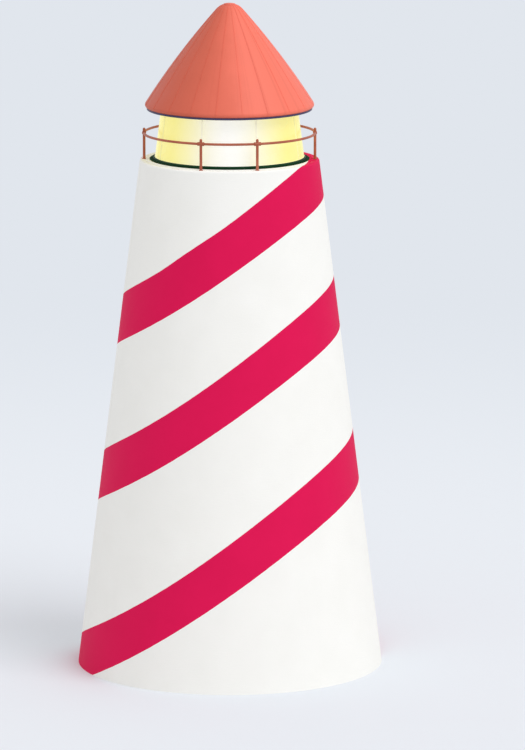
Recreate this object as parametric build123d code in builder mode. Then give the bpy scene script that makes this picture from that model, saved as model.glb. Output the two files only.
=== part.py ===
"""Lighthouse: a tapering round masonry tower that carries a railed gallery, a glazed
lantern and a cone roof.

Millimetres, +Z up. The origin is on the tower's axis at ground level, and the front is -Y.
Every ring and ring segment is a radial section turned about the axis, so pieces that
stand side by side meet on radial planes, and pieces that stand on each other meet on
level planes.
"""

from build123d import *
import os
from math import cos, radians, sin

# ---- Tower -----------------------------------------------------------------
DECK_HEIGHT = 20450  # ground to the top of the gallery slab
BASE_RADIUS = 6130  # outside, at the ground
TOP_RADIUS = 3570  # outside, where the tower's slope reaches deck level
BASE_WALL = 1100  # wall thickness at the ground
TOP_WALL = 600  # wall thickness under the gallery slab
WALL_SEGMENTS = 6

# ---- Gallery ---------------------------------------------------------------
SLAB_THICKNESS = 450
SHOULDER_RADIUS = 90  # rounding of the slab's upper edge
WALKWAY_THICKNESS = 20
WALKWAY_MARGIN = 20  # bare slab between the walkway covering and the post flanges

# ---- Railing ---------------------------------------------------------------
RAIL_SETBACK = 170  # deck edge to the circle through the middles of the posts
RAIL_HEIGHT = 1050  # deck to the middle of the handrail
RAIL_DIAMETER = 100
POST_DIAMETER = 110
POST_RISE = 200  # middle of the handrail to the post's domed top
FLANGE_DIAMETER = 160
FLANGE_THICKNESS = 25
SLEEVE_DIAMETER = 146  # fitting on each post that takes the two handrail ends
SLEEVE_LENGTH = 260
POST_BEARINGS = (-161, -90, -19, 19, 90, 161)  # degrees from the front, + to the right

# ---- Lantern ---------------------------------------------------------------
LANTERN_SETBACK = 590  # deck edge to the outside of the glass, carried down to the deck
LANTERN_LEAN = 260  # how much the glass leans in from deck to soffit
LANTERN_HEIGHT = 2030  # deck to the underside of the soffit
PANE_COUNT = 8
PANE_THICKNESS = 24
BAR_WIDTH = 60  # along the wall, at deck level
BAR_PROUD = 20  # how far a bar stands out past the glass
BAR_DEPTH = 110  # across the wall
KERB_HEIGHT = 120
KERB_PROUD = 60  # how far the kerb stands out past the glass line
KERB_DEPTH = 180
KERB_CHAMFER = 40
HEAD_HEIGHT = 120
HEAD_PROUD = 30
HEAD_DEPTH = 150

# ---- Roof ------------------------------------------------------------------
SOFFIT_THICKNESS = 40
ROOF_OVERHANG = 740  # glass line at the soffit to the eaves corner, before it is rounded
ROOF_CORNER_HEIGHT = 4490  # eaves to the apex, before it is rounded
ROOF_BULGE = 130  # how far the slope swells out past a straight line
ROOF_SHELL = 60
EAVES_ROUNDING = 120
APEX_ROUNDING = 700
ROOF_LANDING = 120  # width of the roof's foot that bears on the soffit
DRIP_WIDTH = 50
DRIP_DROP = 40  # how far the drip edge hangs below the soffit
CAP_THICKNESS = 20
CAP_RADIUS = 240

# ---- Levels and radii that follow ------------------------------------------
SLAB_BOTTOM = DECK_HEIGHT - SLAB_THICKNESS
PANE_BOTTOM = DECK_HEIGHT + KERB_HEIGHT
SOFFIT_BOTTOM = DECK_HEIGHT + LANTERN_HEIGHT
PANE_TOP = SOFFIT_BOTTOM - HEAD_HEIGHT
EAVES_LEVEL = SOFFIT_BOTTOM + SOFFIT_THICKNESS
RAIL_LEVEL = DECK_HEIGHT + RAIL_HEIGHT
LANTERN_RADIUS = TOP_RADIUS - LANTERN_SETBACK
KERB_OUTER = LANTERN_RADIUS + KERB_PROUD
ROOF_CORNER_RADIUS = LANTERN_RADIUS - LANTERN_LEAN + ROOF_OVERHANG
RAIL_RING_RADIUS = TOP_RADIUS - RAIL_SETBACK
POST_RADIUS = POST_DIAMETER / 2
POST_HEIGHT = RAIL_HEIGHT + POST_RISE
FLANGE_RADIUS = FLANGE_DIAMETER / 2
WALKWAY_OUTER = RAIL_RING_RADIUS - FLANGE_RADIUS - WALKWAY_MARGIN

# Angles, in degrees, that a sleeve covers each side of its post and a bar each side of
# its middle.
SLEEVE_HALF_ANGLE = SLEEVE_LENGTH / 2 / radians(1) / RAIL_RING_RADIUS
BAR_HALF_ANGLE = BAR_WIDTH / 2 / radians(1) / LANTERN_RADIUS


def tower_radius(height):
    """Outside radius of the tower at a height above the ground."""
    return BASE_RADIUS + (TOP_RADIUS - BASE_RADIUS) * height / DECK_HEIGHT


def glass_radius(level):
    """Outside radius of the lantern's glass at a level above the ground."""
    return LANTERN_RADIUS - LANTERN_LEAN * (level - DECK_HEIGHT) / LANTERN_HEIGHT


def radial_plane(bearing, radius=0, level=0):
    """Upright plane through the axis: x runs outward at the bearing, y runs up.

    The bearing is in degrees from the front, to the right as seen from the front.
    """
    angle = radians(bearing - 90)
    outward = Vector(cos(angle), sin(angle), 0)
    origin = outward * radius + Vector(0, 0, level)
    return Plane(origin, x_dir=outward, z_dir=(sin(angle), -cos(angle), 0))


def finish(part, name):
    """Labels a finished piece and writes it to its own file."""
    part.label = name
    export_step(part, f"parts/{name}.step")


os.makedirs("parts", exist_ok=True)

# ---- Tower wall: full-height segments of a hollow cone ---------------------
segment_angle = 360 / WALL_SEGMENTS
for number in range(WALL_SEGMENTS):
    with BuildPart() as wall:
        with BuildSketch(radial_plane((number - 0.5) * segment_angle)):
            with BuildLine():
                Polyline(
                    (BASE_RADIUS - BASE_WALL, 0),
                    (BASE_RADIUS, 0),
                    (tower_radius(SLAB_BOTTOM), SLAB_BOTTOM),
                    (tower_radius(SLAB_BOTTOM) - TOP_WALL, SLAB_BOTTOM),
                    close=True,
                )
            make_face()
        revolve(axis=Axis.Z, revolution_arc=segment_angle)
    finish(wall.part, f"tower_wall_{number + 1}")

# ---- Gallery slab: closes the shaft and is the lantern's floor -------------
with BuildPart() as slab:
    with BuildSketch(radial_plane(0)) as slab_section:
        with BuildLine():
            Polyline(
                (0, SLAB_BOTTOM),
                (tower_radius(SLAB_BOTTOM), SLAB_BOTTOM),
                (TOP_RADIUS, DECK_HEIGHT),
                (0, DECK_HEIGHT),
                close=True,
            )
        make_face()
        shoulder = slab_section.vertices().group_by(Axis.Y)[-1].sort_by(Axis.X)[-1]
        fillet(shoulder, SHOULDER_RADIUS)
    revolve(axis=Axis.Z)
finish(slab.part, "gallery_slab")

# ---- Walkway covering: a thin ring on the slab, inside the posts ------------
with BuildPart() as walkway:
    with BuildSketch(Plane.XY.offset(DECK_HEIGHT)):
        Circle(WALKWAY_OUTER)
        Circle(KERB_OUTER, mode=Mode.SUBTRACT)
    extrude(amount=WALKWAY_THICKNESS)
    outer_rim = walkway.edges().group_by(Axis.Z)[-1].sort_by(SortBy.RADIUS)[-1]
    chamfer(outer_rim, WALKWAY_THICKNESS / 2)
finish(walkway.part, "gallery_walkway")

# ---- Lantern kerb: the ring that the glazing stands on ---------------------
with BuildPart() as kerb:
    with BuildSketch(Plane.XY.offset(DECK_HEIGHT)):
        Circle(KERB_OUTER)
        Circle(KERB_OUTER - KERB_DEPTH, mode=Mode.SUBTRACT)
    extrude(amount=KERB_HEIGHT)
    outer_rim = kerb.edges().group_by(Axis.Z)[-1].sort_by(SortBy.RADIUS)[-1]
    chamfer(outer_rim, KERB_CHAMFER)
finish(kerb.part, "lantern_kerb")

# ---- Glazing bars and curved panes -----------------------------------------
pane_pitch = 360 / PANE_COUNT
for number in range(PANE_COUNT):
    bar_bearing = (number + 0.5) * pane_pitch
    with BuildPart() as bar:
        with BuildSketch(radial_plane(bar_bearing - BAR_HALF_ANGLE)):
            with BuildLine():
                Polyline(
                    (glass_radius(PANE_BOTTOM) + BAR_PROUD - BAR_DEPTH, PANE_BOTTOM),
                    (glass_radius(PANE_BOTTOM) + BAR_PROUD, PANE_BOTTOM),
                    (glass_radius(PANE_TOP) + BAR_PROUD, PANE_TOP),
                    (glass_radius(PANE_TOP) + BAR_PROUD - BAR_DEPTH, PANE_TOP),
                    close=True,
                )
            make_face()
        revolve(axis=Axis.Z, revolution_arc=2 * BAR_HALF_ANGLE)
    finish(bar.part, f"glazing_bar_{number + 1}")

    with BuildPart() as pane:
        with BuildSketch(radial_plane(bar_bearing + BAR_HALF_ANGLE)):
            with BuildLine():
                Polyline(
                    (glass_radius(PANE_BOTTOM) - PANE_THICKNESS, PANE_BOTTOM),
                    (glass_radius(PANE_BOTTOM), PANE_BOTTOM),
                    (glass_radius(PANE_TOP), PANE_TOP),
                    (glass_radius(PANE_TOP) - PANE_THICKNESS, PANE_TOP),
                    close=True,
                )
            make_face()
        revolve(axis=Axis.Z, revolution_arc=pane_pitch - 2 * BAR_HALF_ANGLE)
    finish(pane.part, f"lantern_pane_{number + 1}")

# ---- Lantern head: the ring on top of the glazing, which carries the roof --
with BuildPart() as head:
    with BuildSketch(radial_plane(0)):
        with BuildLine():
            Polyline(
                (glass_radius(PANE_TOP) + HEAD_PROUD - HEAD_DEPTH, PANE_TOP),
                (glass_radius(PANE_TOP) + HEAD_PROUD, PANE_TOP),
                (glass_radius(SOFFIT_BOTTOM) + HEAD_PROUD, SOFFIT_BOTTOM),
                (glass_radius(SOFFIT_BOTTOM) + HEAD_PROUD - HEAD_DEPTH, SOFFIT_BOTTOM),
                close=True,
            )
        make_face()
    revolve(axis=Axis.Z)
finish(head.part, "lantern_head")

# ---- Roof outline: x outward from the axis, y up from the eaves ------------
with BuildSketch() as outline:
    with BuildLine():
        Line((-ROOF_CORNER_RADIUS, 0), (ROOF_CORNER_RADIUS, 0))
        SagittaArc((ROOF_CORNER_RADIUS, 0), (0, ROOF_CORNER_HEIGHT), -ROOF_BULGE)
        SagittaArc((0, ROOF_CORNER_HEIGHT), (-ROOF_CORNER_RADIUS, 0), -ROOF_BULGE)
    make_face()
    fillet(outline.vertices().group_by(Axis.Y)[-1], APEX_ROUNDING)
    fillet(outline.vertices().group_by(Axis.Y)[0], EAVES_ROUNDING)

# The flat left between the two rounded eaves corners sets the size of the soffit.
foot_radius = outline.edges().filter_by(GeomType.LINE)[0].length / 2

# ---- Roof: a hollow cone in quarters, whose foot stands on the soffit's rim -
for number in range(4):
    with BuildPart() as roof:
        with BuildSketch(radial_plane(90 * number - 45, level=EAVES_LEVEL)):
            add(outline.sketch_local)
            offset(amount=-ROOF_SHELL, mode=Mode.SUBTRACT)
            Rectangle(2 * (foot_radius - ROOF_LANDING), 3 * ROOF_SHELL, mode=Mode.SUBTRACT)
            split(bisect_by=Plane.YZ)
        revolve(axis=Axis.Z, revolution_arc=90)
    finish(roof.part, f"roof_quarter_{number + 1}")

# ---- Roof cap: a dished plate bedded on the rounded apex -------------------
apex_centre = outline.edges().sort_by(Axis.Y)[-1].arc_center
with BuildPart() as cap:
    with BuildSketch(radial_plane(0, level=EAVES_LEVEL + apex_centre.Y)):
        Circle(APEX_ROUNDING + CAP_THICKNESS)
        Circle(APEX_ROUNDING, mode=Mode.SUBTRACT)
        with Locations((CAP_RADIUS / 2, APEX_ROUNDING)):
            Rectangle(CAP_RADIUS, APEX_ROUNDING, mode=Mode.INTERSECT)
    revolve(axis=Axis.Z)
finish(cap.part, "roof_cap")

# ---- Soffit: the boarded ceiling and underside of the eaves ----------------
with BuildPart() as soffit:
    with BuildSketch(Plane.XY.offset(SOFFIT_BOTTOM)):
        Circle(foot_radius)
    extrude(amount=SOFFIT_THICKNESS)
finish(soffit.part, "roof_soffit")

# ---- Drip edge: a strip round the soffit's rim -----------------------------
with BuildPart() as drip:
    foot = radial_plane(0, foot_radius, SOFFIT_BOTTOM - DRIP_DROP)
    with BuildSketch(foot) as drip_section:
        drip_height = DRIP_DROP + SOFFIT_THICKNESS
        Rectangle(DRIP_WIDTH, drip_height, align=(Align.MIN, Align.MIN))
        lower_lip = drip_section.vertices().group_by(Axis.Y)[0].sort_by(Axis.X)[-1]
        fillet(lower_lip, DRIP_WIDTH / 2)
    revolve(axis=Axis.Z)
finish(drip.part, "drip_edge")

# ---- Railing posts: flanged foot, domed top and a sleeve for the handrail ---
for number, bearing in enumerate(POST_BEARINGS):
    foot = radial_plane(bearing, RAIL_RING_RADIUS, DECK_HEIGHT)
    with BuildPart() as post:
        with BuildSketch(foot):
            with BuildLine():
                dome_level = POST_HEIGHT - POST_RADIUS
                side = Polyline(
                    (0, POST_HEIGHT),
                    (0, 0),
                    (FLANGE_RADIUS, 0),
                    (FLANGE_RADIUS, FLANGE_THICKNESS),
                    (POST_RADIUS, FLANGE_THICKNESS),
                    (POST_RADIUS, dome_level),
                )
                RadiusArc(side @ 1, side @ 0, -POST_RADIUS)
            make_face()
        revolve(axis=Axis(foot.origin, (0, 0, 1)))
        foot_joint = post.edges().filter_by(GeomType.CIRCLE).filter_by(
            lambda edge: abs(edge.center().Z - DECK_HEIGHT - FLANGE_THICKNESS) < 0.01
        )
        fillet(foot_joint.sort_by(SortBy.RADIUS)[0], (FLANGE_RADIUS - POST_RADIUS) / 2)
        sleeve_start = bearing - SLEEVE_HALF_ANGLE
        with BuildSketch(radial_plane(sleeve_start, RAIL_RING_RADIUS, RAIL_LEVEL)):
            Circle(SLEEVE_DIAMETER / 2)
        revolve(axis=Axis.Z, revolution_arc=2 * SLEEVE_HALF_ANGLE)
    finish(post.part, f"rail_post_{number + 1}")

# ---- Handrail: one bent tube from each post's sleeve to the next -----------
next_bearings = POST_BEARINGS[1:] + (POST_BEARINGS[0] + 360,)
for number, (bearing, next_bearing) in enumerate(zip(POST_BEARINGS, next_bearings)):
    rail_start = bearing + SLEEVE_HALF_ANGLE
    rail_angle = next_bearing - bearing - 2 * SLEEVE_HALF_ANGLE
    with BuildPart() as handrail:
        with BuildSketch(radial_plane(rail_start, RAIL_RING_RADIUS, RAIL_LEVEL)):
            Circle(RAIL_DIAMETER / 2)
        revolve(axis=Axis.Z, revolution_arc=rail_angle)
    finish(handrail.part, f"handrail_{number + 1}")
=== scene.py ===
# %% [markdown]
# # A striped lighthouse
#
# The tower is a tall hollow cone of masonry. It carries a round gallery with a railing, a
# lantern of milky glass and a cone roof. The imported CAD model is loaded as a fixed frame:
# everything here is in metres in that frame, with +Z up and -Y to the front. Most CAD
# pieces already have the right shape and only need paint. The roof and the soffit are
# replaced by finer surfaces, and small fittings are added.

# %% Load the frame
from math import e, pi, radians

import bpy
import numpy as np
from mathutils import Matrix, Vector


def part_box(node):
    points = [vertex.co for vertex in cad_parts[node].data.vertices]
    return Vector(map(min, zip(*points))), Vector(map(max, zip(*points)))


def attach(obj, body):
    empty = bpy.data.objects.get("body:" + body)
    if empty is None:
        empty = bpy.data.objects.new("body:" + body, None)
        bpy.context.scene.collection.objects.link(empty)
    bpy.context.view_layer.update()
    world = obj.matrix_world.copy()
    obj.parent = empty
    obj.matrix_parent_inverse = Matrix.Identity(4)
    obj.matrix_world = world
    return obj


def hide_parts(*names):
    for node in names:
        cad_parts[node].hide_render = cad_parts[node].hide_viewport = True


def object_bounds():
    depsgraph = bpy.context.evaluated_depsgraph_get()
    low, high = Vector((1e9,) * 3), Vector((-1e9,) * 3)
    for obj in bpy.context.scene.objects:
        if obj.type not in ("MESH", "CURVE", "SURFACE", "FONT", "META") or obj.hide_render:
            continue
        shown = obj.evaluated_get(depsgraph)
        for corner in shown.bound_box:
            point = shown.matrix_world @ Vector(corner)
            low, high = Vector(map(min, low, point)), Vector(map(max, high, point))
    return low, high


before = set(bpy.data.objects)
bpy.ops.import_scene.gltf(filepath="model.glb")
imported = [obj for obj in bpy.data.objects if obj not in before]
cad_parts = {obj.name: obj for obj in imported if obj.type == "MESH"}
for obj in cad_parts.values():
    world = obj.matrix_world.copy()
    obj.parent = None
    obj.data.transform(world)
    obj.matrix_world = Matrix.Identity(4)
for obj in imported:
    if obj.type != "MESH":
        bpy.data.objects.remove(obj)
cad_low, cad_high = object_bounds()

print("CAD box", tuple(cad_low), tuple(cad_high))

# %% [markdown]
# ## Sizes taken from the frame
#
# A piece that stands on another reads its place from that piece's box, so nothing here is
# fitted by eye. A round piece is centred on the Z axis, so the highest x of its box is its
# outside radius.

# %% Sizes from the frame


def names(stem):
    """The CAD nodes whose name is the stem, an underscore and a number."""
    return sorted(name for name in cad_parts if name.rpartition("_")[0] == stem)


def bottom(node):
    """The lowest level of a CAD node."""
    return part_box(node)[0].z


def top(node):
    """The highest level of a CAD node."""
    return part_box(node)[1].z


def outside(node):
    """The outside radius of a round CAD node."""
    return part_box(node)[1].x


foot_radius = cad_high.x
deck_level = top("gallery_slab")
wall_top = bottom("gallery_slab")
wall_slope = (foot_radius - outside("gallery_slab")) / wall_top
eaves_level = top("roof_soffit")
soffit_radius = outside("roof_soffit")
print("foot radius %.3f, narrowing %.4f per metre of height" % (foot_radius, wall_slope))
print("deck at %.3f, eaves at %.3f" % (deck_level, eaves_level))

# %% [markdown]
# ## Camera
#
# A tower this tall is looked at from far off and from above, so that its sides stay nearly
# parallel and the rings still show a little of their tops. A long lens at a long distance
# does that. The camera looks along +Y and stands a little to the right of the axis, which
# puts the tower left of the middle.

# %% Camera
CAMERA_PLACE = (1.31, -224.6, 53.2)
CAMERA_TILT = 10.47  # degrees below the horizon
CAMERA_LENS = 273.5  # millimetres
CAMERA_RANGE = (10, 3000)  # nearest and furthest that it sees

camera_data = bpy.data.cameras.new("camera")
camera_data.lens = CAMERA_LENS
camera_data.clip_start, camera_data.clip_end = CAMERA_RANGE
camera = bpy.data.objects.new("camera", camera_data)
camera.location = CAMERA_PLACE
camera.rotation_euler = (radians(90 - CAMERA_TILT), 0, 0)
bpy.context.scene.collection.objects.link(camera)
bpy.context.scene.camera = camera
print("camera at", CAMERA_PLACE, "lens", CAMERA_LENS)

# %% [markdown]
# ## Shader sums
#
# A material is a network of nodes, and a formula becomes hard to follow when it is wired by
# hand. Here a small class wraps a socket, and Python's own operators add the Math nodes:
# `1 - mask` makes one Subtract node. Every other node comes from one method, which takes
# the node's type, its settings and its inputs.

# %% Shader sums


class Value:
    """An output socket. An operator on one that carries a number adds a Math node."""

    def __init__(self, shader, socket):
        self.shader = shader
        self.socket = socket

    def output(self, name):
        """Another output of the same node."""
        return Value(self.shader, self.socket.node.outputs[name])

    def __add__(self, other):
        return self.shader.math("ADD", self, other)

    def __radd__(self, other):
        return self.shader.math("ADD", other, self)

    def __sub__(self, other):
        return self.shader.math("SUBTRACT", self, other)

    def __rsub__(self, other):
        return self.shader.math("SUBTRACT", other, self)

    def __mul__(self, other):
        return self.shader.math("MULTIPLY", self, other)

    def __rmul__(self, other):
        return self.shader.math("MULTIPLY", other, self)

    def __truediv__(self, other):
        return self.shader.math("DIVIDE", self, other)

    def __rtruediv__(self, other):
        return self.shader.math("DIVIDE", other, self)

    def __pow__(self, other):
        return self.shader.math("POWER", self, other)

    def __rpow__(self, other):
        return self.shader.math("POWER", other, self)

    def __neg__(self):
        return self.shader.math("MULTIPLY", self, -1)

    def __abs__(self):
        return self.shader.math("ABSOLUTE", self)


class Shader:
    """The node tree of a material or of the world."""

    def __init__(self, owner):
        owner.use_nodes = True
        self.owner = owner
        self.tree = owner.node_tree
        self.tree.nodes.clear()

    def node(self, kind, settings, inputs, output=0):
        """Adds a node: first its settings, then its inputs, each a value or another socket."""
        node = self.tree.nodes.new(kind)
        for name, setting in settings.items():
            setattr(node, name, setting)
        for name, value in inputs.items():
            if isinstance(value, Value):
                self.tree.links.new(value.socket, node.inputs[name])
            else:
                node.inputs[name].default_value = value
        return Value(self, node.outputs[output]) if node.outputs else None

    def math(self, operation, *numbers):
        """Adds a Math node."""
        return self.node("ShaderNodeMath", {"operation": operation}, dict(enumerate(numbers)))

    def place(self):
        """The point on the object, as a vector and as its x, y and z."""
        point = self.node("ShaderNodeTexCoord", {}, {}, "Object")
        x = self.node("ShaderNodeSeparateXYZ", {}, {0: point})
        return point, x, x.output("Y"), x.output("Z")

    def stretched(self, point, stretch):
        """The point with each axis multiplied, so that a pattern on it is squeezed there."""
        settings = {"operation": "MULTIPLY"}
        return self.node("ShaderNodeVectorMath", settings, {0: point, 1: stretch})

    def noise(self, point, scale, detail=2.0):
        """Smooth random patches, from 0 to 1, about 1 / scale metres across."""
        inputs = {"Vector": point, "Scale": scale, "Detail": detail}
        return self.node("ShaderNodeTexNoise", {}, inputs, "Fac")

    def ramp(self, value, low, high):
        """0 at low, 1 at high and a smooth step between them, whichever of them is larger."""
        inputs = {"Value": value, "From Min": low, "From Max": high}
        return self.node("ShaderNodeMapRange", {"interpolation_type": "SMOOTHSTEP"}, inputs)

    def blend(self, mask, first, second):
        """The first colour where the mask is 0 and the second where it is 1.

        A Mix node keeps its two colours at inputs 6 and 7, and the result at output 2.
        """
        settings = {"data_type": "RGBA"}
        return self.node("ShaderNodeMix", settings, {0: mask, 6: first, 7: second}, 2)

    def bump(self, height, distance):
        """A normal tilted as if the surface stood out by height times distance metres."""
        return self.node("ShaderNodeBump", {}, {"Height": height, "Distance": distance})

    def finish(self, inputs):
        """Adds the Principled BSDF and the output, and returns the finished material."""
        surface = self.node("ShaderNodeBsdfPrincipled", {}, inputs)
        self.node("ShaderNodeOutputMaterial", {}, {"Surface": surface})
        return self.owner


def new_material(name):
    """The empty shader of a new material."""
    return Shader(bpy.data.materials.new(name))


def colour(red, green, blue):
    """A colour written as on a paint chart, 0 to 255, in Blender's linear scale.

    The numbers are those of the sRGB standard: linear = ((chart + 0.055) / 1.055) ^ 2.4, and
    chart / 12.92 for the darkest colours.
    """
    chart = np.array([red, green, blue]) / 255
    linear = np.where(chart > 0.04045, ((chart + 0.055) / 1.055) ** 2.4, chart / 12.92)
    return (*linear.tolist(), 1.0)


print("mid grey 188 is", colour(188, 188, 188)[0])

# %% [markdown]
# ## Floor and backdrop
#
# The studio is a pale floor that runs out of sight under a pale sky of the same colour. A
# floor this wide would show a bright and a dark end. So it is an ordinary matt surface only
# near the tower, where it takes the shadow. Further out it fades into the sky's own colour,
# but only for rays that come straight from the camera, so it sends no extra light to the
# tower. Rays that come from the tower meet a darker floor, which keeps the white walls from
# being lit too much from below.

# %% Floor and backdrop
BACKDROP = colour(225, 230, 237)
FLOOR_PAINT = colour(228, 232, 238)
FLOOR_BOUNCE = colour(217, 217, 217)
FLOOR_RADIUS = 1400.0
FLOOR_CORNERS = 128
SHADOW_REACH = (22.0, 90.0)  # metres from the axis, over which the lit floor fades out


def studio_floor():
    """Matt near the tower, and the backdrop's plain colour further out."""
    shader = new_material("studio_floor")
    _, x, y, _ = shader.place()
    seen = shader.node("ShaderNodeLightPath", {}, {}, "Is Camera Ray")
    far = shader.ramp((x * x + y * y) ** 0.5, *SHADOW_REACH)
    tint = shader.blend(seen, FLOOR_BOUNCE, FLOOR_PAINT)
    matt = shader.node("ShaderNodeBsdfDiffuse", {}, {"Color": tint})
    plain = shader.node("ShaderNodeEmission", {}, {"Color": BACKDROP, "Strength": 1.0})
    both = shader.node("ShaderNodeMixShader", {}, {0: far * seen, 1: matt, 2: plain})
    shader.node("ShaderNodeOutputMaterial", {}, {"Surface": both})
    return shader.owner


turn = np.linspace(0, 2 * pi, FLOOR_CORNERS, endpoint=False)
rim = np.stack([np.cos(turn), np.sin(turn), np.zeros_like(turn)], 1) * FLOOR_RADIUS
floor_mesh = bpy.data.meshes.new("floor")
floor_mesh.from_pydata(rim.tolist(), [], [list(range(len(rim)))])
floor_mesh.materials.append(studio_floor())
floor = bpy.data.objects.new("floor", floor_mesh)
bpy.context.scene.collection.objects.link(floor)
print("floor", FLOOR_RADIUS, "m in radius")

# %% [markdown]
# ## Light
#
# Paint looks as it is written when the light that falls on it adds up to about 1. The world
# gives an even fill from all round, and only where the sky itself is seen, straight or
# mirrored, does it show the backdrop's colour. A wide, soft sun high on the right gives the
# tower a bright and a shaded side. Together they stay just under 1 on the brightest wall.

# %% Light
WHITE_LIGHT = (1.0, 1.0, 1.0, 1.0)
FILL = 0.82  # strength of the even light
KEY_STRENGTH = 1.0
KEY_SOFTNESS = 40.0  # degrees across
KEY_BEARING = 50.0  # degrees from the front, to the right
KEY_ELEVATION = 48.0  # degrees above the horizon

world = bpy.data.worlds.new("studio")
bpy.context.scene.world = world
shader = Shader(world)
camera_ray = shader.node("ShaderNodeLightPath", {}, {}, "Is Camera Ray")
other_rays = camera_ray.output("Is Glossy Ray") + camera_ray.output("Is Transmission Ray")
shown = shader.math("MINIMUM", camera_ray + other_rays, 1.0)
fill_light = shader.node("ShaderNodeBackground", {}, {"Color": WHITE_LIGHT, "Strength": FILL})
sky = shader.node("ShaderNodeBackground", {}, {"Color": BACKDROP, "Strength": 1.0})
both = shader.node("ShaderNodeMixShader", {}, {0: shown, 1: fill_light, 2: sky})
shader.node("ShaderNodeOutputWorld", {}, {"Surface": both})

key_light = bpy.data.lights.new("key", "SUN")
key_light.energy = KEY_STRENGTH
key_light.angle = radians(KEY_SOFTNESS)
key = bpy.data.objects.new("key", key_light)
key.rotation_euler = (radians(90 - KEY_ELEVATION), 0, radians(KEY_BEARING))
bpy.context.scene.collection.objects.link(key)
bpy.context.scene.view_settings.view_transform = "Standard"
print("fill", FILL, "and key", KEY_STRENGTH)

# %% [markdown]
# ## Limewash and the painted spiral
#
# The masonry is plastered smooth and limewashed, and a crimson band is painted round it as a
# spiral with two starts, climbing to the right. The band could be cut out as a thin skin,
# but it is paint, so it is a mask in the material. On a cone, a line that climbs at one
# angle gains height in step with the radius. So the mask first unrolls the height: the
# climb below is the logarithm of the radius, which grows evenly along such a line. Each
# time the climb grows by the spacing, or the bearing by the turn between two starts, the
# count of bands changes by one, and the paint is where the count is near a whole number.
#
# A painter's line isn't so regular. It sways: it is steeper on the front and the back than
# on the sides. And it leads: towards the deck on the left, and towards the ground on the
# right, the bands draw apart, so that no scrap of a band is left in a corner of the front.
#
# At the top the paint goes over the deck's rounded edge and stops. Only on the right does it
# run on over the deck, in to the lantern's kerb, and there it turns on a little.

# %% Spiral mask
SPIRAL_STARTS = 2
BAND_SPACING = 1.332  # climb from one band to the next
BAND_PHASE = 0.835  # climb at which the lowest band crosses the front
BAND_HALF_HEIGHT = 1.02
EDGE_SOFTNESS = 0.004  # each way, over which one colour passes into the other
SWAY_TWICE = 0.074  # share of the spacing that the line sways twice in a turn
SWAY_ONCE = 0.073  # and once in a turn
FRONT_RISE = 0.045  # and that it runs higher on the front than on the sides
DECK_LEAD = 0.47  # share of the spacing that the bands draw apart under the deck
DECK_LEAD_HEIGHT = 4.15  # metres over which that comes in
GROUND_LEAD = 0.29
GROUND_LEAD_HEIGHT = 5.0
PAINTED_EDGE = 0.06  # how far a band is carried in over the deck's rounded edge
PAINTED_DECK = 0.60  # and how far on the right, where it runs in to the lantern's kerb
RIGHT_SIDE = (0.0, 0.3)  # sines of the bearings between which the one passes into the other
RIM_SOFTNESS = 0.01  # over which the paint on the deck ends
DECK_TURN = 0.25  # share of the spacing that a band turns on for each metre in over the deck


def spiral_mask(shader, x, y, z, wobble):
    """1 in the painted band and 0 outside it.

    The count is (climb - phase) / spacing - starts x bearing / a whole turn, changed by the
    sway, the leads and the turn over the deck. Its distance from a whole number, times the
    spacing and the radius, is the height above or below the band's middle. The wobble is
    added to that, and it is compared with half of the band's height.
    """
    wall_radius = foot_radius - wall_slope * z
    bearing = shader.math("ARCTAN2", x, -y)
    climb = shader.math("LOGARITHM", wall_radius / foot_radius, e) * (-1 / wall_slope)
    count = (climb - BAND_PHASE) * (1 / BAND_SPACING) - bearing * (SPIRAL_STARTS / 2 / pi)
    sine = shader.math("SINE", bearing)
    cosine = shader.math("COSINE", bearing)
    sway = sine * cosine * (2 * SWAY_TWICE) + sine * SWAY_ONCE + (cosine - 1) * FRONT_RISE
    left = shader.math("MAXIMUM", -sine, 0.0)
    right = shader.math("MAXIMUM", sine, 0.0)
    near_deck = shader.ramp(z, deck_level - DECK_LEAD_HEIGHT, deck_level)
    near_ground = shader.ramp(z, GROUND_LEAD_HEIGHT, 0.0)
    deck_lead = near_deck * left * left * DECK_LEAD
    ground_lead = near_ground * right * right * GROUND_LEAD
    inside_wall = wall_radius - (x * x + y * y) ** 0.5
    count = count - sway - deck_lead + ground_lead + inside_wall * DECK_TURN
    off_middle = abs(count - shader.math("ROUND", count)) * wall_radius * BAND_SPACING
    edge = (BAND_HALF_HEIGHT + EDGE_SOFTNESS, BAND_HALF_HEIGHT - EDGE_SOFTNESS)
    in_band = shader.ramp(off_middle + wobble, *edge)
    on_right = shader.ramp(sine, *RIGHT_SIDE)
    carried_in = on_right * (PAINTED_DECK - PAINTED_EDGE) + PAINTED_EDGE
    on_outside = shader.ramp(inside_wall - carried_in, 0.0, -RIM_SOFTNESS)
    return in_band * on_outside


print("bands are", 2 * BAND_HALF_HEIGHT, "m high")

# %% [markdown]
# ## Limewash and masonry paint
#
# Limewash is chalky and matt, and it is brushed on in level strokes. The crimson paint over
# it is a little smoother. A tile of brushwork would repeat on a wall this large, so the
# strokes are a noise that is squeezed upright and runs long round the tower. The same
# strokes feed the roughness and the bump.

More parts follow.
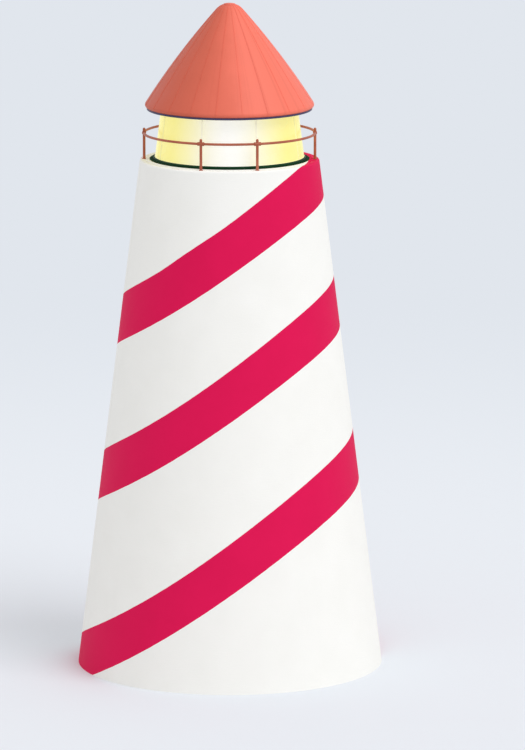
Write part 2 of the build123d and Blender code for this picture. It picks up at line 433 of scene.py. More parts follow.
# %% Tower paint
WHITE = colour(252, 252, 250)
WHITE_PATCH = colour(246, 246, 243)
CRIMSON = colour(229, 13, 86)
CRIMSON_PATCH = colour(220, 9, 80)
PATCH_SCALE = 0.7  # patches to a metre
WOBBLE_SCALE = 3.0
WOBBLE = 0.02  # metres that a brushed edge wanders in all
STROKE_SCALE = 4.0
STROKE_STRETCH = (1.0, 1.0, 14.0)  # strokes are 14 times as long as they are high
GRAIN_SCALE = 60.0
LIMEWASH_ROUGHNESS = 0.86
CRIMSON_SMOOTHER = 0.2  # how much less rough the crimson paint is
STROKE_ROUGHNESS = 0.06
STROKE_RELIEF = 0.006  # metres, as are the other reliefs
CHALKINESS = 0.15  # specular level: chalky paint hardly shines


def white_and_band(shader, point, x, y, z):
    """The spiral's mask, and white with crimson where the mask is 1, both in faint patches."""
    wobble = (shader.noise(point, WOBBLE_SCALE) - 0.5) * WOBBLE
    mask = spiral_mask(shader, x, y, z, wobble)
    patches = shader.noise(point, PATCH_SCALE, 3.0)
    white = shader.blend(patches, WHITE, WHITE_PATCH)
    crimson = shader.blend(patches, CRIMSON, CRIMSON_PATCH)
    return mask, shader.blend(mask, white, crimson)


def limewash():
    """White limewash and crimson masonry paint, with brush strokes and grain."""
    shader = new_material("limewash_and_spiral")
    point, x, y, z = shader.place()
    mask, tint = white_and_band(shader, point, x, y, z)
    strokes = shader.noise(shader.stretched(point, STROKE_STRETCH), STROKE_SCALE, 4.0)
    grain = shader.noise(point, GRAIN_SCALE)
    smoothing = mask * CRIMSON_SMOOTHER
    return shader.finish(
        {
            "Base Color": tint,
            "Roughness": LIMEWASH_ROUGHNESS - smoothing + strokes * STROKE_ROUGHNESS,
            "Specular IOR Level": CHALKINESS,
            "Normal": shader.bump(strokes * 0.8 + grain * 0.2, STROKE_RELIEF),
        }
    )


limewash_material = limewash()
print("spiral with", SPIRAL_STARTS, "starts")

# %% [markdown]
# ## Sanded walkway paint
#
# The walkway is a thin covering on the deck, painted in the tower's two colours. The kerb's
# green is carried out over it as a margin. The margin could be a thin ring of its own, but
# it is paint as well, so it is a mask on the distance from the axis. Sand is mixed into the
# paint against slipping, so its bump is a fine grit.

# %% Walkway paint
KERB_GREEN = (3, 56, 26)
MARGIN_WIDTH = 0.15  # how far the green is carried out over the walkway from the kerb
GRIT_SCALE = 150.0
GRIT_RELIEF = 0.002
SANDED_ROUGHNESS = 0.8


def sanded_paint():
    """The tower's colours with a green margin along the kerb, and a fine grit."""
    shader = new_material("sanded_deck_paint")
    point, x, y, z = shader.place()
    tint = white_and_band(shader, point, x, y, z)[1]
    from_kerb = (x * x + y * y) ** 0.5 - outside("lantern_kerb")
    margin = shader.ramp(from_kerb, MARGIN_WIDTH + EDGE_SOFTNESS, MARGIN_WIDTH - EDGE_SOFTNESS)
    grit = shader.noise(point, GRIT_SCALE)
    return shader.finish(
        {
            "Base Color": shader.blend(margin, tint, colour(*KERB_GREEN)),
            "Roughness": SANDED_ROUGHNESS + grit * 0.15,
            "Specular IOR Level": CHALKINESS,
            "Normal": shader.bump(grit, GRIT_RELIEF),
        }
    )


walkway_material = sanded_paint()
print("green margin", MARGIN_WIDTH, "m wide")

# %% [markdown]
# ## Brushed paint on iron
#
# The kerb, the drip edge and the railing are painted iron: the kerb in satin green, and the
# others in indigo and brown gloss. One function makes all three paints. The fresh colour
# fades in patches about a metre across, the brush leaves the gloss a little uneven, and the
# film has a very fine ripple. The specular level is the same all over, so it is a plain
# number on the shader's socket.

# %% Brushed paint
FADE_SCALE = 1.2
FADE_RANGE = (0.42, 0.72)  # of the noise, over which fresh paint passes into faded
BRUSH_SCALE = 9.0
RIPPLE_SCALE = 40.0
RIPPLE_RELIEF = 0.001
SATIN = {"roughness": 0.55, "specular": 0.2}
GLOSS = {"roughness": 0.38, "specular": 0.4}
KERB_FADED = (10, 60, 31)
INDIGO, INDIGO_FADED = (56, 50, 92), (68, 62, 102)
BROWN, BROWN_FADED = (172, 88, 62), (190, 106, 80)


def brushed_paint(name, fresh, faded, roughness, specular):
    """Brushed paint: fresh and faded patches, uneven roughness and a fine ripple."""
    shader = new_material(name)
    point = shader.place()[0]
    fading = shader.ramp(shader.noise(point, FADE_SCALE, 4.0), *FADE_RANGE)
    uneven = shader.noise(point, BRUSH_SCALE, 3.0)
    ripple = shader.noise(point, RIPPLE_SCALE)
    return shader.finish(
        {
            "Base Color": shader.blend(fading, colour(*fresh), colour(*faded)),
            "Roughness": (uneven - 0.5) * 0.2 + fading * 0.1 + roughness,
            "Specular IOR Level": specular,
            "Normal": shader.bump(ripple, RIPPLE_RELIEF),
        }
    )


green_paint = brushed_paint("green_satin", KERB_GREEN, KERB_FADED, **SATIN)
indigo_paint = brushed_paint("indigo_gloss", INDIGO, INDIGO_FADED, **GLOSS)
brown_paint = brushed_paint("brown_gloss", BROWN, BROWN_FADED, **GLOSS)
print("one satin and two gloss paints")

# %% [markdown]
# ## Opal glass and its bars
#
# The lantern is glazed with milky glass, which hides the lamp and glows. The glass is
# painted white on the front, a painted highlight, and it is yellow round the sides. Real opal
# glass scatters light inside, which is slow to render. From outside it comes to two things:
# the glass throws back about half of the daylight, and the lamp's light comes through it.
# So its own colour is dimmed to about half, and an emission in the same colours is added,
# with the same painted highlight. The bars and the head ring are painted in the glass's
# colours, with the painted highlight in front and a faint painted glow, so that they hardly
# show.

# %% Opal glass and bar paint
GLASS_YELLOW = colour(255, 246, 150)
GLASS_HIGHLIGHT = colour(255, 255, 250)
BAR_YELLOW = colour(255, 250, 178)
HIGHLIGHT_EDGE = 56.0  # degrees from the front at which the white has faded out
CLOUD_SCALE = 1.1
CLOUDING = 0.15  # share of the way from yellow to white that the clouds make
GLASS_ROUGHNESS = 0.25
BAR_ROUGHNESS = 0.3
THROWN_BACK = 0.52  # share of the daylight that the glass throws back
GLOW = 0.54  # strength of the lamp's light through the glass
BAR_PAINTED_GLOW = 0.13  # and of the glow painted on the bars, which are no lamp


def front_highlight(shader):
    """1 at the front, where the highlight is painted, and 0 round the sides and the back."""
    _, x, y, _ = shader.place()
    bearing = abs(shader.math("ARCTAN2", x, -y))
    return shader.ramp(bearing, radians(HIGHLIGHT_EDGE), 0.0)


def dimmed(full, share):
    """A colour with its red, green and blue multiplied by the share."""
    return (*(share * np.array(full[:3])).tolist(), 1.0)


def opal_glass():
    """Milky glass, a little cloudy, painted white on the front as a highlight: half of its
    colour is its own and half is the lamp's.
    """
    shader = new_material("opal_glass")
    cloud = shader.noise(shader.place()[0], CLOUD_SCALE, 3.0) - 0.5
    # The mask of the painted highlight on the front, pushed about a little by the clouds.
    white = front_highlight(shader) + cloud * CLOUDING
    own = [dimmed(tint, THROWN_BACK) for tint in (GLASS_YELLOW, GLASS_HIGHLIGHT)]
    return shader.finish(
        {
            "Base Color": shader.blend(white, *own),
            "Roughness": cloud * 0.2 + GLASS_ROUGHNESS,
            "Emission Color": shader.blend(white, GLASS_YELLOW, GLASS_HIGHLIGHT),
            "Emission Strength": GLOW,
        }
    )


def bar_paint():
    """Gloss paint in the glass's colours, white in front as a painted highlight, with a painted
    glow and a fine ripple.
    """
    shader = new_material("bar_gloss")
    ripple = shader.noise(shader.place()[0], RIPPLE_SCALE)
    # White at the front: the same painted highlight as on the glass.
    tint = shader.blend(front_highlight(shader), BAR_YELLOW, GLASS_HIGHLIGHT)
    return shader.finish(
        {
            "Base Color": tint,
            "Roughness": ripple * 0.2 + BAR_ROUGHNESS,
            "Normal": shader.bump(ripple, RIPPLE_RELIEF),
            # The bars are no lamp: their emission is a painted glow.
            "Emission Color": tint,
            "Emission Strength": BAR_PAINTED_GLOW,
        }
    )


opal_material = opal_glass()
cream_paint = bar_paint()
print("opal glass glows at", GLOW)

# %% [markdown]
# ## Paint on the CAD pieces
#
# A CAD piece that has the right shape stays as it is. Its material slots are overwritten
# with the finished materials.

# %% Paint the CAD pieces


def paint(nodes, material):
    """Puts the material in every slot of each CAD node."""
    for name in nodes:
        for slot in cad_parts[name].material_slots:
            slot.material = material
    print("painted", len(nodes), "nodes with", material.name)


paint(names("tower_wall") + ["gallery_slab"], limewash_material)
paint(["gallery_walkway"], walkway_material)
paint(["lantern_kerb"], green_paint)
paint(names("lantern_pane"), opal_material)
paint(names("glazing_bar") + ["lantern_head"], cream_paint)
paint(["drip_edge"], indigo_paint)
paint(names("rail_post") + names("handrail"), brown_paint)

# %% [markdown]
# ## Surfaces from numbers
#
# The new pieces could be cut and bevelled by hand, but each of them is round or repeats, and
# a formula gives all of its points at once. So they are worked out with numpy. A surface is
# a grid of points, and its faces join each point with its neighbours. Where a row of points
# shrinks to one, as at the top of a dome, the points coincide, and they are merged in the
# mesh. Faces between two such rows shrink to bare edges, and those are deleted. One helper
# gives a point from its place round the axis, one numbers the corners of the faces, and one
# makes the finished piece.

# %% Mesh helpers
import bmesh

SHARP_ANGLE = radians(38)  # a sharper edge than this is shaded as an edge
MERGE_DISTANCE = 1e-5


def around(bearing, radius, level):
    """Points at a bearing t, radius r and level z, which are (r sin t, -r cos t, z).

    The bearing is counted from the front, to the right.
    """
    parts = np.broadcast_arrays(radius * np.sin(bearing), -radius * np.cos(bearing), level)
    return np.stack(parts, -1)


def grid_faces(shape):
    """Corner numbers of the quads of many grids. The shape is grids, rows, columns.

    A quad's corners are the point, the one in the next row, the one across and the one in
    the next column. Rows and columns both close on themselves.
    """
    number = np.arange(np.prod(shape)).reshape(shape)
    next_row = np.roll(number, -1, 1)
    next_column = np.roll(number, -1, 2)
    across = np.roll(next_row, -1, 2)
    return np.stack([number, next_row, across, next_column], -1).reshape(-1, 4)


def make_piece(name, points, material):
    """Makes the finished piece from an array of points: grids, rows, columns, x y z."""
    faces = grid_faces(points.shape[:3])
    mesh = bpy.data.meshes.new(name)
    mesh.from_pydata(points.reshape(-1, 3).tolist(), [], faces.tolist())
    shape = bmesh.new()
    shape.from_mesh(mesh)
    bmesh.ops.remove_doubles(shape, verts=shape.verts, dist=MERGE_DISTANCE)
    loose = [edge for edge in shape.edges if not edge.link_faces]
    bmesh.ops.delete(shape, geom=loose, context="EDGES")
    bmesh.ops.recalc_face_normals(shape, faces=shape.faces)
    shape.to_mesh(mesh)
    shape.free()
    mesh.shade_smooth()
    mesh.set_sharp_from_angle(angle=SHARP_ANGLE)
    mesh.materials.append(material)
    piece = bpy.data.objects.new(name, mesh)
    bpy.context.scene.collection.objects.link(piece)
    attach(piece, "root")
    print(name, "has", len(mesh.polygons), "faces")
    return piece


print("the first quad of a grid of 3 by 4 points joins", grid_faces((1, 3, 4))[0])

# %% [markdown]
# ## Roof sheeting
#
# The roof is sheet metal over a timber cone. Its slope swells a little, its eaves are rolled
# over and its top is rounded. A cone with softened edges would keep a straight slope. So the
# outline is three arcs, each running smoothly into the next: one over the top, a long one
# down the slope and a small one at the eaves. Two arcs run into each other smoothly when
# their centres are as far apart as their radii differ, and that gives the slope's centre.
# The sheet has an inner face too, the same arcs drawn with smaller radii.

# %% Roof outline
TOP_ARC = 0.70  # radii of the three arcs, and how many points each has
SLOPE_ARC = 30.96
EAVES_ARC = 0.12
TOP_POINTS = 9
SLOPE_POINTS = 15
EAVES_POINTS = 13
SHELL = 0.06  # thickness of the roof
LANDING = 0.12  # width of the sheeting's foot on the soffit

roof_nodes = names("roof_quarter")
roof_top = max(top(node) for node in roof_nodes)
eaves_centre = np.array([soffit_radius, eaves_level + EAVES_ARC])
top_centre = np.array([0.0, roof_top - TOP_ARC])
# The slope's centre is where two circles cross, about the other centres.
between = eaves_centre - top_centre
gap = np.hypot(*between)
reach_top = SLOPE_ARC - TOP_ARC
reach_eaves = SLOPE_ARC - EAVES_ARC
along = (reach_top**2 - reach_eaves**2 + gap**2) / (2 * gap)
aside = (reach_top**2 - along**2) ** 0.5
direction = between / gap
slope_centre = top_centre + along * direction - aside * np.array([-direction[1], direction[0]])
print("slope's centre", slope_centre)


def arc(centre, radius, start, end, count):
    """Points (r, z) of a circle, centre + radius (cos a, sin a), for a from start to end."""
    angle = np.linspace(start, end, count)
    return centre + radius * np.stack([np.cos(angle), np.sin(angle)], 1)


def roof_outline(inset):
    """The outline from the top down to the eaves, drawn inset metres inside the sheet."""
    to_top = np.arctan2(*(top_centre - slope_centre)[::-1])
    to_eaves = np.arctan2(*(eaves_centre - slope_centre)[::-1])
    over_top = arc(top_centre, TOP_ARC - inset, pi / 2, to_top, TOP_POINTS)
    down_slope = arc(slope_centre, SLOPE_ARC - inset, to_top, to_eaves, SLOPE_POINTS)
    round_eaves = arc(eaves_centre, EAVES_ARC - inset, to_eaves, -pi / 2, EAVES_POINTS)
    return np.vstack([over_top, down_slope[1:], round_eaves[1:]])


outer = roof_outline(0)
print("the eaves reach out to", outer[:, 0].max())

# %% [markdown]
# ## Salmon roof paint
#
# Roof paint weathers in lines that run straight down the slope. A streak is a pattern that
# depends only on the direction round the axis. So the point is flattened and made one unit
# long before it goes into the noise, and every point down one line gets the same shade. The
# left side is painted darker and browner, a painted shade away from the light. The bump is a
# slow noise, the shallow dents of beaten sheet metal.

# %% Salmon roof paint
SALMON = colour(247, 121, 100)
SALMON_SHADED = colour(206, 96, 73)
SALMON_STREAK = colour(199, 91, 71)
SHADE_SIDE = (0.5, -0.7)  # where the painted shade begins and is full, as shares of the radius
SHADE_RAGGED = 0.4  # how far the patches push its edge about, as a share of the radius
TOP_EVENING = 0.4  # radius about which the painted shade evens out towards the top
STREAK_SCALE = 14.0  # streaks to a radian
STREAK_RANGE = (0.50, 0.78)  # of the noise, over which a streak comes in
STREAK_STRENGTH = 0.35
DENT_SCALE = 2.4
DENT_RELIEF = 0.012
ROOF_PATCH_SCALE = 0.8
ROOF_ROUGHNESS = 0.40
ROOF_SPECULAR = 0.3


def roof_paint():
    """Satin salmon paint, painted darker on the left as shade, with patches and streaks down the
    slope.
    """
    shader = new_material("salmon_roof_paint")
    point, x, y, _ = shader.place()
    flat = shader.stretched(point, (1.0, 1.0, 0.0))
    outward = shader.node("ShaderNodeVectorMath", {"operation": "NORMALIZE"}, {0: flat})
    streaks = shader.ramp(shader.noise(outward, STREAK_SCALE, 3.0), *STREAK_RANGE)
    patches = shader.noise(point, ROOF_PATCH_SCALE, 3.0)
    dents = shader.noise(point, DENT_SCALE, 1.0)
    to_side = x / ((x * x + y * y) ** 0.5 + TOP_EVENING)
    # The left side is painted darker and browner: a painted shade away from the key light.
    painted_shade = shader.ramp(to_side + (patches - 0.5) * SHADE_RAGGED, *SHADE_SIDE)
    tint = shader.blend(painted_shade, SALMON, SALMON_SHADED)
    return shader.finish(
        {
            "Base Color": shader.blend(streaks * STREAK_STRENGTH, tint, SALMON_STREAK),
            "Roughness": patches * 0.15 + ROOF_ROUGHNESS,
            "Specular IOR Level": ROOF_SPECULAR,
            "Normal": shader.bump(dents, DENT_RELIEF),
        }
    )


salmon_paint = roof_paint()
paint(["roof_cap"], salmon_paint)

# %% [markdown]
# ## The sheeting itself
#
# The outline is turned round the axis. It starts and ends on the axis, so the first and the
# last row of points each shrink to one point, and the sheet is closed.

# %% Turn the roof sheeting
ROOF_STEPS = 192  # points round the axis


def turned(profile, count):
    """The grid of a profile of (r, z) points turned round the axis at even bearings."""
    bearing = np.linspace(0, 2 * pi, count, endpoint=False)
    return around(bearing, profile[:, :1], profile[:, 1:])[None]


foot_edge = soffit_radius - LANDING
foot = np.array([[foot_edge, eaves_level], [foot_edge, eaves_level + SHELL]])
sheet_profile = np.vstack([outer, foot, roof_outline(SHELL)[::-1]])
sheeting_points = turned(sheet_profile, ROOF_STEPS)
sheeting = make_piece("roof_sheeting", sheeting_points, salmon_paint)
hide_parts(*roof_nodes)

# %% [markdown]
# ## Seams of the roof
#
# Sheets on a cone are joined along lines from the top to the eaves. Each joint is folded
# into a low rib. Bump alone would leave the roof's edge smooth against the sky, so the ribs
# are solid. A rib is a small flat-topped section carried down the outline: at each point of
# the outline the section stands on the slope, with its width across the slope. At both ends
# the section shrinks to its own middle, which closes the rib with a flat end. All the ribs
# are worked out in one array.

# %% Roof seams
SEAM_COUNT = 20
SEAM_WIDTH = 0.030
SEAM_HEIGHT = 0.012
SEAM_BED = 0.004  # how deep a seam sits in the sheet


def carried(path, side, up, section):
    """A section carried along a path: the path's point + x along side + y along up."""
    across = section[:, :1] * side[..., None, :]
    return path[..., None, :] + across + section[:, 1:] * up[..., None, :]


def closed(runs):
    """The carried sections with one more row at each end, shrunk to that section's middle."""
    middle = runs[:, [0, -1]].mean(2, keepdims=True)
    ends = np.broadcast_to(middle, (len(runs), 2, *runs.shape[2:]))
    return np.concatenate([ends[:, :1], runs, ends[:, 1:]], 1)


def outline_normals(line):
    """Unit normals of a line of (r, z) points, turned to the left of its direction."""
    run = np.gradient(line, axis=0)
    run = run / np.hypot(run[:, :1], run[:, 1:])
    return np.stack([-run[:, 1], run[:, 0]], 1)


def roof_seams():
    """Flat-topped ribs down the slope, one at each of SEAM_COUNT even bearings."""
    line = outer[(outer[:, 0] > outside("roof_cap")) & (outer[:, 1] > eaves_centre[1])]
    normal = outline_normals(line)
    bearing = ((np.arange(SEAM_COUNT) + 0.5) * 2 * pi / SEAM_COUNT)[:, None]
    path = around(bearing, line[:, 0], line[:, 1])
    side = around(bearing + pi / 2, 1.0, 0.0)
    up = around(bearing, normal[:, 0], normal[:, 1])
    half, top_half = SEAM_WIDTH / 2, SEAM_WIDTH / 4
    section = [(half, -SEAM_BED), (top_half, SEAM_HEIGHT)]
    section += [(-top_half, SEAM_HEIGHT), (-half, -SEAM_BED)]
    return closed(carried(path, side, up, np.array(section)))


make_piece("roof_seams", roof_seams(), salmon_paint)

# %% [markdown]
# ## Round heads
#
# Screws, rivets and domed nuts all show the same thing: a low round head. It is a quarter of
# an ellipse turned about the fastener's own axis, with a short skirt that sinks into the
# metal. Eight sides are enough for a head of a few centimetres, and a whole ring of heads is
# one array and one piece.

# %% Round heads
HEAD_SIDES = 8
HEAD_ROWS = 4  # points from the top of the dome to its edge
HEAD_SINK = 0.002  # how deep its skirt goes into the metal


def round_heads(place, outward, radius, height):
    """Domes at the places, each standing along its outward direction.

    With s the sideways and u the outward direction, a point of the dome is the place
    + radius sin(a) (s cos(b) + w sin(b)) + height cos(a) u, for a from 0 to a quarter turn
    and b all the way round. w is square to both.
    """
    rise = np.linspace(0, pi / 2, HEAD_ROWS)
    out = np.append(radius * np.sin(rise), [radius, 0.0])[:, None, None]
    up = np.append(height * np.cos(rise), [-HEAD_SINK, -HEAD_SINK])[:, None, None]
    spin = np.linspace(0, 2 * pi, HEAD_SIDES, endpoint=False)[:, None]
    sideways = np.cross(outward, np.roll(outward, 1, -1))
    sideways = sideways / np.linalg.norm(sideways, axis=-1, keepdims=True)
    other = np.cross(outward, sideways)[:, None, None]
    ring = np.cos(spin) * sideways[:, None, None] + np.sin(spin) * other
    return place[:, None, None] + out * ring + up * outward[:, None, None]


def even_bearings(count, first=0.0):
    """Bearings at even steps all the way round, in radians. The first is in degrees."""
    return radians(first) + np.arange(count) * 2 * pi / count


print("four even bearings", even_bearings(4).round(3))

# %% [markdown]
# ## Cap rivets
#
# The cap is a dished plate over the rounded top of the roof, held by a ring of rivets. The
# plate is part of a sphere, so a rivet points straight away from that sphere's centre.

# %% Cap rivets
RIVET_COUNT = 12
RIVET_INSET = 0.045  # from the edge of the cap
RIVET_RADIUS = 0.014
cap_sphere = TOP_ARC + top("roof_cap") - roof_top
rivet_ring = outside("roof_cap") - RIVET_INSET
rivet_tilt = np.arccos(rivet_ring / cap_sphere)
rivet_way = around(even_bearings(RIVET_COUNT), np.cos(rivet_tilt), np.sin(rivet_tilt))
rivet_place = rivet_way * cap_sphere + np.array([0.0, 0.0, top_centre[1]])
rivets = round_heads(rivet_place, rivet_way, RIVET_RADIUS, RIVET_RADIUS / 2)
make_piece("roof_cap_rivets", rivets, salmon_paint)

# %% [markdown]
# ## Soffit boards
#
# The underside of the roof is lined with boards that all point to the axis, with a V groove
# between each pair. The lining could be a hundred separate boards. One surface shows the
# same thing: a flat disc whose underside rises into a groove wherever the bearing crosses a
# joint. The groove fades out towards the middle, which is hidden above the lantern.

# %% Board soffit
BOARD_COUNT = 96
GROOVE_DEPTH = 0.010
GROOVE_WIDTH = 0.016


def soffit_boards():
    """A disc with radial grooves underneath.

    The underside is at the soffit's lowest level + depth x (1 - distance to the nearest
    joint / half the groove's width), and at its lowest level where that is negative.
    """
    underside = bottom("roof_soffit")
    edge_radius = outside("roof_soffit")
    joint = even_bearings(BOARD_COUNT)[:, None]
    half_angle = GROOVE_WIDTH / 2 / edge_radius
    pitch = 2 * pi / BOARD_COUNT
    bearing = (joint + np.array([-half_angle, 0.0, half_angle, pitch / 2])).ravel()
    depth = np.tile([0.0, GROOVE_DEPTH, 0.0, 0.0], BOARD_COUNT)
    inner_radius = outside("lantern_head") / 2  # inside this the grooves fade out
    radius = np.array([0.0, edge_radius, edge_radius, inner_radius, 0.0])[:, None]
    grooved = np.array([0.0, 0.0, 1.0, 1.0, 0.0])[:, None]
    level = np.array([eaves_level, eaves_level, underside, underside, underside])[:, None]
    return around(bearing, radius, level + grooved * depth)[None]


boards = soffit_boards()
print(BOARD_COUNT, "boards,", boards.shape, "points")

# %% [markdown]
# ## Board paint
#
# Each board was painted by itself, so each has its own shade between two warm whites. The
# bearing, counted in boards and rounded down, is the board's number, and white noise turns
# the number into a shade. The grain runs along the boards: it is a noise of the bearing and
# the radius, close across the board and long along it.

# %% Board paint
BOARD_WHITE = colour(247, 244, 232)
BOARD_CREAM = colour(236, 231, 214)
GRAIN_CREAM = colour(224, 217, 197)
GRAIN_ACROSS = 90.0  # to a radian
GRAIN_ALONG = 2.0  # to a metre
GRAIN_STRENGTH = 0.35
BOARD_ROUGHNESS = 0.5
BOARD_RELIEF = 0.001


def board_paint():
    """Cream-white board paint that differs a little from board to board, with fine grain."""
    shader = new_material("board_paint")
    point, x, y, _ = shader.place()
    bearing = shader.math("ARCTAN2", x, -y)
    board = shader.math("FLOOR", bearing * (BOARD_COUNT / (2 * pi)))
    settings = {"noise_dimensions": "1D"}
    shade = shader.node("ShaderNodeTexWhiteNoise", settings, {"W": board}, "Value")
    radius = (x * x + y * y) ** 0.5
    unrolled = {0: bearing * GRAIN_ACROSS, 1: radius * GRAIN_ALONG}
    grain = shader.noise(shader.node("ShaderNodeCombineXYZ", {}, unrolled), 1.0, 3.0)
    tint = shader.blend(shade, BOARD_WHITE, BOARD_CREAM)
    return shader.finish(
        {
            "Base Color": shader.blend(grain * GRAIN_STRENGTH, tint, GRAIN_CREAM),
            "Roughness": grain * 0.2 + BOARD_ROUGHNESS,
            "Normal": shader.bump(grain, BOARD_RELIEF),
        }
    )


boarding = make_piece("soffit_boarding", boards, board_paint())
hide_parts("roof_soffit")

# %% [markdown]
# ## Glass line
#
# The glass leans in from the kerb to the head. Its radius at the kerb is read from the
# panes, and its radius under the head from the ring there. The beads and the screws on the
# bars all follow this leaning line.

# %% Glass line
PANE_COUNT = len(names("lantern_pane"))
BAR_WIDTH = 0.060
BAR_PROUD = 0.020  # how far a bar stands out past the glass
HEAD_PROUD = 0.030  # how far the head ring stands out past the glass

glass_foot = max(outside(node) for node in names("lantern_pane"))
glass_levels = np.array([top("lantern_kerb"), bottom("lantern_head")])
glass_lean = (glass_foot - outside("lantern_head") + HEAD_PROUD) / np.ptp(glass_levels)


def glass_radius(level):
    """The glass's outside radius at a level: that at the kerb, less lean x height above it."""
    return glass_foot - glass_lean * (level - glass_levels[0])


bar_bearings = even_bearings(PANE_COUNT, 180 / PANE_COUNT)
half_bar = BAR_WIDTH / 2 / glass_radius(deck_level)  # half a bar's width, as a bearing
print("glass radius %.3f at the kerb, %.3f at the head" % tuple(glass_radius(glass_levels)))

# %% [markdown]
# ## Glazing beads
#
# Each curved pane is held by a sloping bead of putty along all four edges. A bevel would
# change the panes and the bars, which stay as they are, so the beads are pieces of their
# own. The upright ones are a three-cornered section carried up the leaning line, and the
# level ones are the same section carried round the axis. They are closed at the ends as the
# roof's seams are.

# %% Glazing beads
BEAD = 0.018  # width and height of a bead
BEAD_BED = 0.003  # how deep a bead sits in the glass
BEAD_POINTS = 17  # along a level bead


def beads(path, side, out):
    """Three-cornered beads: BEAD wide along the side direction and BEAD high outward."""
    section = np.array([(0.0, -BEAD_BED), (BEAD, -BEAD_BED), (0.0, BEAD)])
    return closed(carried(path, side, out, section))


def upright_beads(hand):
    """A bead up each bar. The hand is 1 for the side of larger bearings and -1 for the other."""
    edge = (bar_bearings + hand * half_bar)[:, None]
    path = around(edge, glass_radius(glass_levels), glass_levels)
    side = around(edge + hand * pi / 2, 1.0, 0.0)
    return beads(path, side, around(edge, 1.0, 0.0))


def level_beads(level, hand):
    """A bead along the foot or the head of each pane. The hand is 1 upward, -1 downward."""
    first = (bar_bearings + half_bar)[:, None]
    bearing = first + np.linspace(0, 2 * pi / PANE_COUNT - 2 * half_bar, BEAD_POINTS)
    path = around(bearing, glass_radius(level), level)
    return beads(path, np.array([0.0, 0.0, hand]), around(bearing, 1.0, 0.0))


uprights = np.concatenate([upright_beads(1), upright_beads(-1)])
levels = np.concatenate([level_beads(glass_levels[0], 1.0), level_beads(glass_levels[1], -1.0)])
make_piece("upright_glazing_beads", uprights, cream_paint)
make_piece("level_glazing_beads", levels, cream_paint)

# %% [markdown]
# ## Bar screws
#
# A flat strip is screwed over each joint between two panes. The screws are evenly spaced up
# the strip and point straight out, square to the leaning line.

# %% Bar screws
SCREWS_PER_BAR = 5
SCREW_RADIUS = 0.011
SCREW_MARGIN = 0.14  # from the kerb and the head to the nearest screw

screw_level = np.linspace(
    glass_levels[0] + SCREW_MARGIN, glass_levels[1] - SCREW_MARGIN, SCREWS_PER_BAR
)
screw_place = around(bar_bearings[:, None], glass_radius(screw_level) + BAR_PROUD, screw_level)
lean = np.arctan(glass_lean)
screw_way = around(bar_bearings[:, None], np.cos(lean), np.sin(lean))
screw_way = np.broadcast_to(screw_way, screw_place.shape).reshape(-1, 3)
screws = round_heads(screw_place.reshape(-1, 3), screw_way, SCREW_RADIUS, SCREW_RADIUS / 2)
make_piece("glazing_bar_screws", screws, cream_paint)

# %% [markdown]
# ## Kerb bolts
#
# The kerb is an iron ring bolted to the masonry deck. Domed nuts stand in a ring on its
# upright face, below the chamfer. They are round heads that point straight out.

# %% Kerb bolts
KERB_BOLTS = 40
BOLT_RADIUS = 0.020
BOLT_LEVEL = 0.048  # above the deck

bolt_bearings = even_bearings(KERB_BOLTS, 180 / KERB_BOLTS)
bolt_place = around(bolt_bearings, outside("lantern_kerb"), deck_level + BOLT_LEVEL)
bolt_way = around(bolt_bearings, 1.0, 0.0)
bolts = round_heads(bolt_place, bolt_way, BOLT_RADIUS, BOLT_RADIUS * 0.6)
make_piece("kerb_bolts", bolts, green_paint)

# %% [markdown]
# ## Rail sleeves
#
# The handrail is in six lengths, and each length ends in a sleeve on a post. A sleeve has a
# raised lip at both ends, where the rail goes in, and a grub screw under each end that
# holds the rail. A lip could be a ready-made torus, placed and turned twelve times. Here it
# is a small circle carried once round the rail, and all twelve are one array.

# %% Rail sleeves
SLEEVE_RADIUS = 0.073  # as in the CAD model, like the next two
SLEEVE_LENGTH = 0.260
FLANGE_RADIUS = 0.080  # of a post's foot, its widest part
LIP_RADIUS = 0.008
LIP_STEPS = 24  # round the rail
LIP_SIDES = 8
GRUB_RADIUS = 0.012
GRUB_SETBACK = 0.040  # from the sleeve's end

post_nodes = names("rail_post")
rail_ring = max(outside(node) for node in post_nodes) - FLANGE_RADIUS
rail_level = (bottom("handrail_1") + top("handrail_1")) / 2
post_middles = np.array([np.mean(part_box(node), axis=0) for node in post_nodes])
post_bearings = np.arctan2(post_middles[:, 0], -post_middles[:, 1])


def sleeve_bearings(setback):
    """Bearings of the points on every sleeve that lie a distance in from both its ends."""
    half_angle = (SLEEVE_LENGTH / 2 - setback) / rail_ring
    return np.concatenate([post_bearings - half_angle, post_bearings + half_angle])


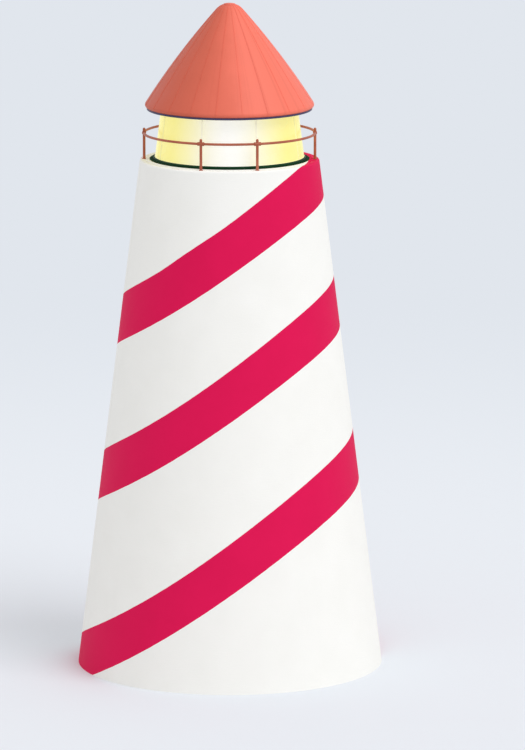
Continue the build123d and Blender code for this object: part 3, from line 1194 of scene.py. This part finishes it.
def sleeve_lips():
    """Small rings round the rail: a circle of LIP_RADIUS carried round one of SLEEVE_RADIUS."""
    bearing = sleeve_bearings(LIP_RADIUS)[:, None]
    turn = np.linspace(0, 2 * pi, LIP_STEPS, endpoint=False)
    out = around(bearing, np.cos(turn), np.sin(turn))
    path = around(bearing, rail_ring, rail_level) + SLEEVE_RADIUS * out
    along = around(bearing + pi / 2, 1.0, 0.0)
    spin = np.linspace(0, 2 * pi, LIP_SIDES, endpoint=False)
    circle = LIP_RADIUS * np.stack([np.cos(spin), np.sin(spin)], 1)
    return carried(path, out, along, circle)


make_piece("handrail_sleeve_lips", sleeve_lips(), brown_paint)
grub_bearings = sleeve_bearings(GRUB_SETBACK)
grub_place = around(grub_bearings, rail_ring, rail_level - SLEEVE_RADIUS)
grub_way = np.broadcast_to([0.0, 0.0, -1.0], grub_place.shape)
grubs = round_heads(grub_place, grub_way, GRUB_RADIUS, GRUB_RADIUS / 2)
make_piece("handrail_grub_screws", grubs, brown_paint)

# %% [markdown]
# ## Bolts of the post feet
#
# Each post stands on a round flange, bolted down to the deck with four coach bolts. Their
# heads sit on the flat ring outside the fillet between the post and its flange.

# %% Flange bolts
BOLTS_PER_POST = 4
FLANGE_THICKNESS = 0.025
FLANGE_BOLT_RADIUS = 0.006
FLANGE_BOLT_RING = 0.0735  # from the post's middle

post_places = around(post_bearings, rail_ring, deck_level + FLANGE_THICKNESS)[:, None]
foot_bearings = post_bearings[:, None] + even_bearings(BOLTS_PER_POST, 45)
flange_places = post_places + around(foot_bearings, FLANGE_BOLT_RING, 0.0)
flange_way = np.broadcast_to([0.0, 0.0, 1.0], (flange_places.size // 3, 3))
flange_bolts = round_heads(
    flange_places.reshape(-1, 3), flange_way, FLANGE_BOLT_RADIUS, FLANGE_BOLT_RADIUS * 0.6
)
make_piece("post_flange_bolts", flange_bolts, brown_paint)

# %% [markdown]
# ## Nails of the drip edge
#
# The strip along the eaves is nailed to the edge of the soffit through its upright face,
# above its rounded lip. A nail every forty centimetres or so is enough.

# %% Drip edge nails
DRIP_NAILS = 52
NAIL_RADIUS = 0.007
NAIL_LEVEL = 0.055  # above the strip's lip

nail_bearings = even_bearings(DRIP_NAILS)
nail_place = around(nail_bearings, outside("drip_edge"), bottom("drip_edge") + NAIL_LEVEL)
nail_way = around(nail_bearings, 1.0, 0.0)
nails = round_heads(nail_place, nail_way, NAIL_RADIUS, NAIL_RADIUS / 2)
make_piece("drip_edge_nails", nails, indigo_paint)
